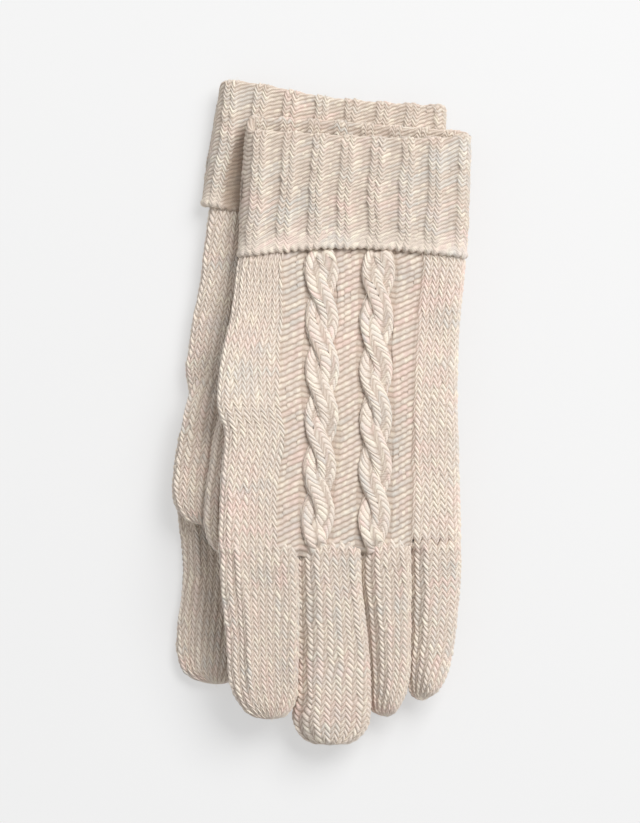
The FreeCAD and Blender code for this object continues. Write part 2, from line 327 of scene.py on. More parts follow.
def fibres(P, N, T, tone, stitch, count, seed):
    """Loose fibres that stand off the yarn: thin bent strips of five points."""
    rng = np.random.default_rng(seed)
    k = rng.integers(0, len(P), count)
    n = N[k] + rng.normal(0, 0.45, (count, 3))
    t = T[k] + rng.normal(0, 0.9, (count, 3))
    n /= np.maximum(np.linalg.norm(n, axis=1, keepdims=True), 1e-6)
    t /= np.maximum(np.linalg.norm(t, axis=1, keepdims=True), 1e-6)
    ln = rng.uniform(0.8, 2.3, (count, 1))
    b = np.cross(n, t)
    b /= np.maximum(np.linalg.norm(b, axis=1, keepdims=True), 1e-6)
    wd = 0.030
    p0 = P[k] - N[k] * 0.15
    p1 = p0 + n * ln * 0.30 + t * ln * 0.35
    p2 = p1 + n * ln * 0.08 + t * ln * 0.55
    V = np.stack([p0 - b * wd, p0 + b * wd, p1 - b * wd, p1 + b * wd, p2], 1).reshape(-1, 3)
    i = np.arange(count) * 5
    Q = np.stack([i, i + 1, i + 3, i + 2], 1)
    Tt = np.stack([i + 2, i + 3, i + 4], 1)
    r = np.repeat(k, 5)
    tn = tone[r].copy()
    tn[:, 2] += 0.4
    # each has its own small cell in a band along the foot of the bake map
    per = max(1, int(math.ceil(count / 6)))
    u0, v0 = (np.arange(count) % per) / per, (np.arange(count) // per) * 0.0045 + 0.001
    du, dv = 0.7 / per, 0.003
    fuv = np.stack([np.stack([u0, v0], 1), np.stack([u0 + du, v0], 1),
                    np.stack([u0, v0 + dv / 2], 1), np.stack([u0 + du, v0 + dv / 2], 1),
                    np.stack([u0 + du / 2, v0 + dv], 1)], 1).reshape(-1, 2)
    return V, Q, Tt, tn, stitch[r], fuv


def build(name, g, mat, side="left", cap=False, fuzz=1.2, seed=0):
    """Turns a stitched grid into an object; a closed ring is joined up and can be
    capped at its end.  fuzz is the number of loose fibres per stitch."""
    P, tone, depth, uv, stitch = g["P"], g["tone"], g["depth"], g["uv"], g["stitch"]
    nr, nc = P.shape[:2]
    # directions at every point, for the fibres
    dr = np.gradient(P, axis=0)
    dc = np.gradient(P, axis=1)
    nn = np.cross(dr, dc) * g["sign"]
    nn /= np.maximum(np.linalg.norm(nn, axis=2, keepdims=True), 1e-9)
    tt = dc / np.maximum(np.linalg.norm(dc, axis=2, keepdims=True), 1e-9)
    pick = slice(2, nr - 2)
    flat = lambda z: z[pick].reshape(-1, z.shape[-1])
    count = int(fuzz * g["cells"])
    fib = fibres(flat(P), flat(nn), flat(tt), flat(tone), flat(stitch), count, 1000 + seed + nr * 7 + nc)
    closed = g["closed"]
    if closed:
        # repeat the first column so that the bake map has an edge there
        last = uv[:, :1].copy()
        last[..., 0] = 0.996
        uv = np.concatenate([uv, last], 1)
    cols = nc + 1 if closed else nc
    idx = np.arange(nr * nc).reshape(nr, nc)
    if closed:
        idx = np.concatenate([idx, idx[:, :1]], 1)
    ui = np.arange(nr * cols).reshape(nr, cols)

    def cells(m):
        return np.stack([m[:-1, :-1], m[1:, :-1], m[1:, 1:], m[:-1, 1:]], -1).reshape(-1, 4)
    q, uq = cells(idx), cells(ui)
    if g["sign"] < 0:
        q, uq = q[:, ::-1], uq[:, ::-1]
    P, tone, depth = P.reshape(-1, 3), tone.reshape(-1, 3), depth.reshape(-1)
    uv, stitch = uv.reshape(-1, 2), stitch.reshape(-1, 3)
    uv = uv * [1.0, 0.965] + [0.0, 0.032]
    tris = np.zeros((0, 3), int)
    ut = np.zeros((0, 3), int)
    if cap:
        ringi = idx[-1]
        P = np.vstack([P, P[ringi[:-1]].mean(0)])
        tone = np.vstack([tone, tone[ringi[0]]])
        depth = np.append(depth, 0.5)
        stitch = np.vstack([stitch, stitch[ringi[0]]])
        uv = np.vstack([uv, [0.5, 0.9995]])
        m = len(ringi) - 1
        tris = np.stack([ringi[:-1], np.full(m, len(P) - 1), ringi[1:]], -1)
        ut = np.stack([ui[-1][:-1], np.full(m, len(uv) - 1), ui[-1][1:]], -1)
        if g["sign"] < 0:
            tris, ut = tris[:, ::-1], ut[:, ::-1]
    n0 = len(P)
    V, Q, T, tn, st, fuv = fib
    P = np.vstack([P, V])
    tone = np.vstack([tone, tn])
    depth = np.append(depth, np.full(len(V), 0.9))
    stitch = np.vstack([stitch, st])
    quads = np.vstack([q, Q + n0])
    tri = np.vstack([tris, T + n0])
    loops_uv = np.vstack([uv[uq.ravel()], fuv[Q.ravel()], uv[ut.ravel()], fuv[T.ravel()]])
    return make_object(name, P, quads, tri,
                       {"tone": ("FLOAT_VECTOR", tone), "depth": ("FLOAT", depth),
                        "stitch": ("FLOAT_VECTOR", stitch)}, loops_uv, side, mat)


# ---------------------------------------------------------------- materials
def srgb(r, g, b):
    return tuple(((c / 255) / 12.92 if c / 255 <= 0.04045 else ((c / 255 + 0.055) / 1.055) ** 2.4)
                 for c in (r, g, b)) + (1.0,)


def knit_material(name, base, pink, grey, cream, deep, twist=1.0):
    m = bpy.data.materials.new(name)
    m.use_nodes = True
    nt = m.node_tree
    nt.nodes.clear()
    N, L = nt.nodes.new, nt.links.new
    out = N("ShaderNodeOutputMaterial")
    bsdf = N("ShaderNodeBsdfPrincipled")
    L(bsdf.outputs[0], out.inputs[0])
    bsdf.inputs["Roughness"].default_value = 0.92
    bsdf.inputs["Specular IOR Level"].default_value = 0.25
    bsdf.inputs["Sheen Weight"].default_value = 0.35
    bsdf.inputs["Sheen Roughness"].default_value = 0.6
    bsdf.inputs["Sheen Tint"].default_value = srgb(255, 244, 232)
    tone = N("ShaderNodeAttribute")
    tone.attribute_name = "tone"
    sep = N("ShaderNodeSeparateXYZ")
    L(tone.outputs["Vector"], sep.inputs[0])
    depth = N("ShaderNodeAttribute")
    depth.attribute_name = "depth"
    st = N("ShaderNodeAttribute")
    st.attribute_name = "stitch"
    pos = N("ShaderNodeNewGeometry")

    def mix(fac, a, b, kind="MIX"):
        n = N("ShaderNodeMix")
        n.data_type = "RGBA"
        n.blend_type = kind
        n.clamp_factor = True
        if isinstance(fac, (int, float)):
            n.inputs[0].default_value = fac
        else:
            L(fac, n.inputs[0])
        for k, v in ((6, a), (7, b)):
            if isinstance(v, tuple):
                n.inputs[k].default_value = v
            else:
                L(v, n.inputs[k])
        return n.outputs[2]

    def ramp(x, lo, hi, a=0.0, b=1.0):
        n = N("ShaderNodeMapRange")
        n.clamp = True
        L(x, n.inputs[0])
        n.inputs[1].default_value, n.inputs[2].default_value = lo, hi
        n.inputs[3].default_value, n.inputs[4].default_value = a, b
        return n.outputs[0]

    def tex(kind, scale, detail=4.0, rough=0.6, vec=None):
        n = N("ShaderNodeTexNoise")
        n.inputs["Scale"].default_value = scale
        n.inputs["Detail"].default_value = detail
        n.inputs["Roughness"].default_value = rough
        L(vec if vec is not None else pos.outputs["Position"], n.inputs["Vector"])
        return n.outputs["Fac"]

    col = mix(ramp(sep.outputs[0], 0.05, 0.75, 0, 0.75), base, pink)
    col = mix(ramp(sep.outputs[1], 0.05, 0.75, 0, 0.75), col, grey)
    col = mix(ramp(sep.outputs[2], 0.05, 0.75, 0, 0.65), col, cream)
    # single fibres of the heather, light and dark
    fib = tex("f", 1900.0, 3.0, 0.7)
    col = mix(ramp(fib, 0.52, 0.72, 0, 0.40), col, cream)
    fib2 = tex("g", 1300.0, 3.0, 0.7)
    col = mix(ramp(fib2, 0.56, 0.74, 0, 0.38), col, deep)
    # painted shade: the yarn is darker and warmer where it dives between its neighbours, as the depth attribute falls
    col = mix(ramp(depth.outputs["Fac"], 0.55, 0.0, 0.0, 0.66), col, deep, "MIX")
    L(col, bsdf.inputs["Base Color"])
    # plies twisting round the yarn, and the fuzz over them
    wave = N("ShaderNodeTexWave")
    wave.wave_type = "BANDS"
    wave.bands_direction = "DIAGONAL"
    wave.inputs["Scale"].default_value = 1.6
    wave.inputs["Distortion"].default_value = 2.2
    wave.inputs["Detail"].default_value = 2.0
    L(st.outputs["Vector"], wave.inputs["Vector"])
    add = N("ShaderNodeMath")
    add.operation = "MULTIPLY_ADD"
    L(wave.outputs["Fac"], add.inputs[0])
    add.inputs[1].default_value = 0.45 * twist
    L(fib, add.inputs[2])
    bump = N("ShaderNodeBump")
    bump.inputs["Strength"].default_value = 0.55
    bump.inputs["Distance"].default_value = 0.00035
    L(add.outputs[0], bump.inputs["Height"])
    L(bump.outputs[0], bsdf.inputs["Normal"])
    return m


PINK = srgb(246, 217, 208)
GREY = srgb(214, 213, 208)
CREAM = srgb(250, 241, 222)
# the dark fibres of the heather, and also the painted shade in the yarn's valleys
DARK_FIBRE_AND_SHADE = srgb(152, 126, 104)
BASE = srgb(233, 220, 208)
MAT = {
    "stockinette": knit_material("stockinette_yarn", BASE, PINK, GREY, CREAM, DARK_FIBRE_AND_SHADE),
    # painted shade: the rib's base colour is a darker copy of the stockinette's, for the shade in the rib's hollows
    # and the weaker light on the cuffs
    "rib": knit_material("rib_yarn_painted_shade", srgb(220, 206, 193), PINK, GREY, CREAM, DARK_FIBRE_AND_SHADE),
    "cable": knit_material("cable_yarn", BASE, PINK, GREY, CREAM, DARK_FIBRE_AND_SHADE),
}

# ----------------------------------------------------------------- the plan
HAND_Y = Y([230, 256, 312, 358, 404, 413, 434, 477, 515, 549, 560])
HAND_L = X([241, 238, 231, 221, 217, 219, 225, 221, 219.5, 219, 219])
HAND_R = X([466, 466, 461, 458.5, 458, 458, 459, 460, 461, 461.5, 461.5])

FINGER = {
    # name: y of outline points (px), left edge, right edge, tip row
    "index_finger": dict(
        y=[538, 552, 589, 617, 663, 680, 695, 709, 716, 719.5, 720.5],
        l=[219, 219, 222, 224, 227, 229, 233.8, 243, 252, 261, 270],
        r=[298.5, 298.5, 298.7, 299, 299, 298.7, 297.5, 292, 286, 279, 271],
        cut=[278.0], split=[8, 3], drop=10.5, tuck=0.0),
    "middle_finger": dict(
        y=[538, 552, 575, 607, 664, 700, 717, 731, 740, 745, 747.5],
        l=[296, 296, 296, 296, 296, 294, 291.5, 295, 303, 314, 329],
        r=[361, 361, 361.5, 364.5, 370, 372, 371, 366, 358, 348, 331],
        cut=[], split=[8], drop=8.5, tuck=2.2, grow=0.036),
    "ring_finger": dict(
        y=[538, 552, 575, 607, 664, 690, 703, 711, 716, 718, 718.7],
        l=[358, 358, 358.5, 361.5, 367, 369, 370, 372, 377, 383, 388],
        r=[411.5, 411.5, 411.5, 411.5, 411, 408.5, 403, 398, 394, 391, 389],
        cut=[], split=[7], drop=7.0, tuck=2.6, grow=0.028),
    "little_finger": dict(
        y=[538, 552, 580, 618, 648, 671, 683, 692.5, 698.5, 701.5, 702.3],
        l=[408.5, 408.5, 408.5, 408.5, 408, 408, 409, 411, 414, 418, 423],
        r=[461.5, 461.5, 461, 458, 454, 449, 444.5, 438, 431, 427, 424],
        cut=[412.0], split=[1, 6], drop=5.0, tuck=2.4, grow=0.035),
}


def hand_z(side, x, y):
    if side == "right":
        return Z_HAND_R + 0 * x + 0 * y
    k = smooth((WRIST_Y - y) / (WRIST_Y + 2.0)) * 0.55 + 0.45 * np.clip((WRIST_Y - y) / (WRIST_Y - 2.9), 0, 1)
    return (1 - k) * Z_CUFF_L + k * (27.19 - ROLL * (x + 20.2))


def finger_z(side, name, x, y):
    """Mid height of a finger."""
    d = np.maximum(0.0, HINGE_Y + 3.0 - y)
    if side == "right":
        # settles from the level of the hand to the table
        return Z_HAND_R - 1.9 * smooth(d / 16.0)
    t = math.tan(math.radians(FINGER[name]["drop"]))
    return hand_z(side, x, np.full_like(d, HINGE_Y)) - t * (d - 5.0 * (1 - np.exp(-d / 5.0)) * 0.6)


# -------------------------------------------------------------- hand fabric
END_Y = Y(553.0)
PAST_Y = Y(562.0)
TOP_Y = Y(236.0)
ROWS_HAND = 54
ROW = (TOP_Y - END_Y) / ROWS_HAND
V_END = (TOP_Y - END_Y) / (TOP_Y - PAST_Y)


def wave(side, x, y):
    """Soft undulation of the fabric on the side that faces up."""
    s = 1 if side == "left" else 5
    n = 0.55 * noise(x / 17, y / 23, s) + 0.26 * noise(x / 8, y / 11, s + 1)
    # a low crease running down from the thumb's root into the index finger
    c = X(np.interp(-y, -Y(np.array([430, 500, 618, 690])), [222, 230, 245, 258]))
    return n + 0.55 * np.exp(-((x - c) / 2.6) ** 2) * smooth((Y(450) - y) / 14)


def nudge(side, part, y):
    """Where the lower glove's own thumb-side outline differs, in mm."""
    if side == "left":
        return 0.0
    if part == "hand":
        return float(np.interp(-y, [-70, -45, -28, -8, 4, 25, 60], [0.0, 0.8, 2.6, 3.3, 1.4, 0.0, 1.4]))
    return float(np.interp(-y, [40, 52, 58, 66, 80, 90, 104, 112, 118, 124],
                           [0.6, 1.1, 1.4, 2.4, 2.7, 1.8, 0.0, -1.6, -3.0, -1.0]))


def hand_surface(side):
    ys = np.linspace(TOP_Y, PAST_Y, 205)
    rowsP = []
    for y in ys:
        xl, xr = float(curve(y, HAND_Y, HAND_L)) + nudge(side, "hand", y), float(curve(y, HAND_Y, HAND_R))
        base = 3.25 if side == "left" else 2.85
        # slimmer where it goes into the cuff
        k = float(smooth((y - (WRIST_Y - (4.0 if side == "left" else -1.5))) / 9.0))
        t = base * (1 - k) + 2.2 * k
        xl2, xr2 = xl + 2.2 * k + 0.55, xr - 2.2 * k - 0.55
        x, h = ring(xl2, xr2, t, t)
        z = hand_z(side, x, np.full_like(x, y))
        rowsP.append(np.stack([x, np.full_like(x, y), z + h], -1))
    P = np.array(rowsP)
    up = P[:, :, 2] > hand_z(side, P[:, :, 0], P[:, :, 1])
    n = wave(side, P[:, :, 0], P[:, :, 1]) * smooth((WRIST_Y + 4 - P[:, :, 1]) / 8.0)
    P[:, :, 2] += np.where(up, n, 0.4 * n - 0.1)
    return Surf(P)


def w_of_x(surf, x, v, top=True):
    """Ring position of plan position x at length v, on the upper or lower side."""
    x, v = np.broadcast_arrays(np.asarray(x, float), np.asarray(v, float))
    out = np.empty(x.shape)
    kv, half = surf.P.shape[0] - 1, (surf.P.shape[1] - 1) // 2
    for i in range(x.size):
        row = surf.P[int(round(np.clip(v.flat[i], 0, 1) * kv))]
        if top:
            out.flat[i] = np.interp(x.flat[i], row[:half + 1, 0], np.linspace(0, 1, half + 1))
        else:
            out.flat[i] = np.interp(x.flat[i], row[half:, 0][::-1], np.linspace(1, 2, half + 1)[::-1])
    return out


PANEL_Y = [250, 318, 400, 480, 545]
PANEL = [  # edges of the purl grounds and of the cables, px, at PANEL_Y
    [283.5, 283.5, 282.0, 279.0, 278.0],
    [304.0, 305.0, 304.0, 301.0, 298.7],
    [338.0, 339.0, 339.0, 336.0, 333.0],
    [361.0, 359.0, 358.0, 357.0, 356.0],
    [398.0, 394.0, 393.0, 392.0, 391.0],
    [421.0, 417.0, 414.0, 412.0, 411.0]]
BACK = [("K", 8), ("P", 3), ("C", 4), ("P", 3), ("C", 4), ("P", 3), ("K", 6)]
TILT = {"K": 1.0 / 14, "P": -0.62, "C": 0.27}


def hands(side):
    surf = hand_surface(side)
    top = side == "left"
    knots = (TOP_Y - Y(np.array(PANEL_Y))) / (TOP_Y - PAST_Y)
    cols = "".join(c * n for c, n in BACK)
    wb = []
    for i, kv in enumerate(knots):
        edges = [0.0 if top else 2.0] + [float(w_of_x(surf, X(p[i]), kv, top)) for p in PANEL] + [1.0]
        row = [edges[0]]
        for k, (c, n) in enumerate(BACK):
            row += list(np.linspace(edges[k], edges[k + 1], n + 1)[1:])
        wb.append(row)
    wb = np.array(wb)

    def relief(W, v, lift):
        # the purl ground is sunk between stockinette and cables
        a = np.interp(v, knots, wb[:, 8])
        b = np.interp(v, knots, wb[:, len(cols) - 6])
        x = np.minimum(W - a, b - W) if top else np.minimum(a - W, W - b)
        return -(0.60 - 0.22 * smooth((v / V_END - 0.935) / 0.05)) * smooth(x / 0.02 + 0.4)

    def shade(W, v):
        # painted shade: the purl ground is darkened where it lies in the lee of the columns on either side of it,
        # most along their edges
        a = np.interp(v, knots, wb[:, 8])
        b = np.interp(v, knots, wb[:, len(cols) - 6])
        x = np.minimum(W - a, b - W) if top else np.minimum(a - W, W - b)
        d = np.abs(x) * 110.0
        return 0.13 * smooth(x / 0.01 + 0.5) + 0.16 * np.exp(-(d / 1.2) ** 2)

    kw = dict(free=(False, True), lean=0.11, weak=0.66, amp=0.88)
    if top:
        back = knit(surf, cols, wb, ROWS_HAND, 0, V_END, seed=3, relief=relief, knots=knots, tilt=TILT,
                    painted_shade=shade, sink=(0, 1.6), **kw)
        palm = knit(surf, "K" * 30, np.linspace(1, 2, 31), ROWS_HAND, 0, V_END, seed=4, segs=6,
                    sink=(0, 1.6), **kw)
    else:
        back = knit(surf, cols[::-1], wb[:, ::-1], ROWS_HAND, 0, V_END, seed=5, segs=6, relief=relief,
                    knots=knots, tilt={k: -v for k, v in TILT.items()}, painted_shade=shade, sink=(0, 1.6), **kw)
        palm = knit(surf, "K" * 30, np.linspace(0, 1, 31), ROWS_HAND, 0, V_END, seed=6, sink=(0, 1.6), **kw)
    ob1 = build(side + "_hand_back", back, MAT["stockinette"], side)
    ob2 = build(side + "_hand_palm", palm, MAT["stockinette"], side)
    return surf, ob1, ob2


# ------------------------------------------------------------------- cables
def cable(side, surf, which, phase, seed):
    """Two strands of knit columns, crossing every seven rows."""
    period = 19.2
    K = 420
    top = side == "left"
    v0, v1 = (TOP_Y - Y(243.0)) / (TOP_Y - PAST_Y), (TOP_Y - Y(551.0)) / (TOP_Y - PAST_Y)
    v = np.linspace(v0, v1, K)
    yv = TOP_Y - v * (TOP_Y - PAST_Y)
    lo, hi = PANEL[1 + 2 * which], PANEL[2 + 2 * which]
    cx = X(np.interp(-yv, -Y(np.array(PANEL_Y)), (np.array(lo) + np.array(hi)) / 2))
    C, N = surf.at(w_of_x(surf, cx, v, top), v)
    N = np.stack([np.convolve(np.pad(N[:, k], 12, mode="edge"), np.ones(25) / 25, "valid") for k in range(3)], 1)
    N /= np.linalg.norm(N, axis=1, keepdims=True)
    y = C[:, 1]
    # both ends run flat into the fabric, under the cuff and at the knuckles
    flat = smooth((Y(246.0) - y) / 5.0) * smooth((y - Y(551.0)) / 5.0)
    gs = []
    for strand in (0, 1):
        th = np.pi * (Y(236.0) - y) / period + strand * np.pi + phase
        A, B = 2.75, 0.80 if top else 0.65
        x = A * np.cos(th)
        lift = -B * np.sin(th)
        half_w, half_h = 3.75, 1.0
        cen = C.copy()
        cen[:, 0] += x
        cen = cen + N * ((0.45 + lift) * flat - 1.5 * (1 - flat))[:, None]
        tang = np.gradient(cen, axis=0)
        tang /= np.linalg.norm(tang, axis=1, keepdims=True)
        sidev = np.cross(tang, N)
        sidev /= np.linalg.norm(sidev, axis=1, keepdims=True)
        sidev *= np.sign(sidev[:, :1])
        upv = np.cross(sidev, tang)
        upv /= np.linalg.norm(upv, axis=1, keepdims=True)
        upv *= np.sign((upv * N).sum(1))[:, None]
        k = np.linspace(0, 2 * np.pi, 97)
        ex = -np.cos(k) * (1.0 if top else -1.0)
        ez = np.sin(k)
        pw = np.sign(ez) * np.abs(ez) ** 0.8
        Pg = (cen[:, None, :] + sidev[:, None, :] * (half_w * ex)[None, :, None]
              + upv[:, None, :] * (half_h * pw)[None, :, None] * (0.6 + 0.4 * flat)[:, None, None])
        S = Surf(Pg)
        if ((S.P - cen[:, None, :]) * S.N).sum() < 0:
            S = Surf(Pg, sign=-1.0)
        g = knit(S, "KKKK", np.linspace(0.0, 2.0, 5), 54, 0.0, 1.0, slope=1.9, amp=0.50, segs=8,
                 seed=seed + strand * 7, closed=True, jitter=1.1, weak=0.38, lean=0.20)
        gs.append(g)
    return gs


def join_grids(name, gs, mat, side):
    obs = [build("%s_%d" % (name, i), g, mat, side) for i, g in enumerate(gs)]
    # one object per cable: both strands in one mesh, each with its half of the map
    for i, o in enumerate(obs):
        uvl = o.data.uv_layers["OFBake"].data
        a = np.empty(len(uvl) * 2, np.float32)
        uvl.foreach_get("uv", a)
        a = a.reshape(-1, 2)
        a[:, 0] = a[:, 0] * 0.495 + 0.505 * i
        uvl.foreach_set("uv", a.ravel())
    with bpy.context.temp_override(active_object=obs[0], object=obs[0], selected_objects=obs,
                                   selected_editable_objects=obs):
        bpy.ops.object.join()
    obs[0].name = name
    obs[0].data.name = name
    return obs[0]


# ------------------------------------------------------------ closed fingers
ROOT_Y = TOP_Y - (ROWS_HAND - 2) * ROW
BEFORE_Y = ROOT_Y + 4.0


def even_rows(P, count):
    """Re-spaces the rings of a table evenly along its upper middle line."""
    mid = P[:, 60]
    s = np.concatenate([[0], np.cumsum(np.linalg.norm(np.diff(mid, axis=0), axis=1))])
    k = np.interp(np.linspace(0, s[-1], count), s, np.arange(len(s)))
    i = np.clip(np.floor(k).astype(int), 0, len(s) - 2)
    fr = (k - i)[:, None, None]
    return P[i] * (1 - fr) + P[i + 1] * fr, s[-1]


def finger_surface(side, name):
    f = FINGER[name]
    yy, ll, rr = Y(f["y"]), X(f["l"]), X(f["r"])
    if side == "right" and name == "index_finger":
        yy = yy - 2.0 * smooth((Y(620.0) - yy) / 26.0)
    y0, y1 = ROOT_Y, yy[-1]
    cap = 9.5
    straight = np.linspace(BEFORE_Y, y1 + cap, 140)
    th = np.linspace(0, np.pi / 2, 60)[1:]
    capy = y1 + cap * (1 - np.sin(th))
    ys = np.concatenate([straight, capy])
    tt = np.concatenate([np.ones(140), np.maximum(0.05, np.cos(th)) ** 0.75])
    base = 3.2 if side == "left" else 2.8
    s = 60 + len(name) + (9 if side == "right" else 0)
    rowsP = []
    for y, k in zip(ys, tt):
        wl, wr = (0.30 * float(noise(y / 11.0, 3.3, s + 2)), 0.30 * float(noise(y / 11.0, 8.3, s + 3)))
        on = float(smooth((y0 - y) / 12.0))
        xl = float(curve(y, yy, ll)) + 0.5 + wl * on
        if name == "index_finger":
            xl += nudge(side, name, y)
        xr = float(curve(y, yy, rr)) - 0.5 + wr * on
        if xr - xl < 0.3:
            m = (xl + xr) / 2
            xl, xr = m - 0.15, m + 0.15
        t = base * k
        x, h = ring(xl, xr, t, t)
        z = finger_z(side, name, x, np.full_like(x, y))
        go = float(smooth((Y(545.0) - y) / 3.0)) * min(1.0, k + 0.15)
        # the fabric is fullest along the middle
        u = np.clip((x - xl) / (xr - xl), 0, 1)
        h = h + np.sign(h) * 0.35 * on * k * (np.sin(np.pi * u) - 0.5)
        if f["tuck"]:
            # the left side slopes down under the finger beside it
            g = 1 - smooth((x - xl - 0.4) / 8.0)
            far = max(0.0, y0 - y) * (f["grow"] if side == "left" else 0.0)
            z = z - (f["tuck"] + far) * g * go
            h = h * (1 - 0.22 * g * go)
        if name != "little_finger":
            g = np.exp(-((x - (xr - 1.7)) / 2.1) ** 2)
            z = z + 0.80 * g * go
        if name == "index_finger":
            # a soft fold of the fabric running down towards the tip
            c = X(float(np.interp(-y, -Y(np.array([552, 612, 673])), [237.0, 246.5, 250.5])))
            z = z + np.where(h > 0, go * k * (0.75 * np.exp(-((x - c) / 1.5) ** 2)
                                              - 0.55 * np.exp(-((x - c + 3.4) / 2.2) ** 2)), 0)
        n = wave(side, x, np.full_like(x, y)) * (1 - on) + on * 0.45 * noise(x / 9 + s, y / 14 + 0 * x, s)
        n = n * (0.3 + 0.7 * k)
        up = h > 0
        zz = z + h + np.where(up, n, 0.4 * n - 0.1)
        zz = np.where(zz < 2.2, 2.2 - 1.1 * (1 - np.exp((np.minimum(zz, 2.2) - 2.2) / 1.1)), zz)
        rowsP.append(np.stack([x, np.full_like(x, y), zz], -1))
    P, length = even_rows(np.array(rowsP), 240)
    return Surf(P), length


def finger(side, name):
    surf, length = finger_surface(side, name)
    f = FINGER[name]
    start = (BEFORE_Y - ROOT_Y) / length
    rows = int(round((length - (BEFORE_Y - ROOT_Y)) / 2.2))
    # the columns of the side that continues the back of the hand
    w = [0.0] + [float(w_of_x(surf, X(p), start, True)) for p in f["cut"]] + [1.0]
    half = [0.0]
    for k, n in enumerate(f["split"]):
        half += list(np.linspace(w[k], w[k + 1], n + 1)[1:])
    half = np.array(half)
    n = len(half) - 1
    wb = np.concatenate([half, np.linspace(1, 2, n + 1)[1:]])
    reach = wb[min(2, n)]

    def painted_shade(W, v):
        # shadowed side that lies under the next finger, and its lower side
        q = np.minimum(np.mod(W, 2.0), np.mod(-W, 2.0)) / reach
        return 0.16 * (1 - smooth(q)) * smooth((v - start) * length / 3.0 - 1.2) * (f["tuck"] > 0)

    g = knit(surf, "K" * (2 * n), wb, rows, start, 1, amp=0.92, painted_shade=painted_shade,
             seed=70 + len(name) * 3 + (1 if side == "right" else 0),
             closed=True, fade=(0.0, 2.2), sink=(0.95, 0), free=(True, False), lean=0.13, weak=0.52)
    return build("%s_%s_knit" % (side, name), g, MAT["stockinette"], side, cap=True)


# -------------------------------------------------------------------- thumb
THUMB = dict(y=[398, 412, 436, 470, 490, 522, 535, 545, 552, 557, 559],
             l=[224, 221, 214, 208.5, 206, 204, 206, 211, 218, 226, 236],
             r=[262, 268, 270, 268, 266, 263, 261, 257, 251, 245, 238])


def thumb(side):
    dx, dy = (0.0, 0.0) if side == "left" else (5.0, -2.5)
    yy, ll, rr = Y(THUMB["y"]) + dy, X(THUMB["l"]) + dx, X(THUMB["r"]) + dx
    y0, y1 = yy[0], yy[-1]
    cap = 8.5
    straight = np.linspace(y0, y1 + cap, 110)
    th = np.linspace(0, np.pi / 2, 50)[1:]
    ys = np.concatenate([straight, y1 + cap * (1 - np.sin(th))])
    tt = np.concatenate([np.ones(110), np.maximum(0.05, np.cos(th)) ** 0.75])
    zc = 19.55 if side == "left" else 12.65
    to = 27.6 if side == "left" else 5.6
    rowsP = []
    for y, k in zip(ys, tt):
        xl, xr = float(curve(y, yy, ll)) + 0.4, float(curve(y, yy, rr)) - 0.4
        if xr - xl < 0.3:
            m = (xl + xr) / 2
            xl, xr = m - 0.15, m + 0.15
        # its root rises to the palm that it grows from
        g = float(smooth((y - (y0 - 19)) / 17))
        t = 2.55 * k * (1 - 0.35 * g)
        x, h = ring(xl, xr, t, t)
        z = zc + (to - zc) * g + 0 * x
        rowsP.append(np.stack([x, np.full_like(x, y), z + h], -1))
    P = np.array(rowsP)
    P[:, :, 2] += 0.3 * noise(P[:, :, 0] / 9, P[:, :, 1] / 13, 90 + (side == "right"))
    P, length = even_rows(P, 200)
    surf = Surf(P)
    n = 16
    rows = int(round(length / 2.2))
    wb = np.concatenate([np.linspace(0, 1, n // 2 + 1), np.linspace(1, 2, n // 2 + 1)[1:]])
    g = knit(surf, "K" * n, wb, rows, 0, 1, amp=1.0, seed=95 + (side == "right"), closed=True,
             fade=(0.0, 2.2), lean=0.13, weak=0.55)
    return build(side + "_thumb_knit", g, MAT["stockinette"], side, cap=True)


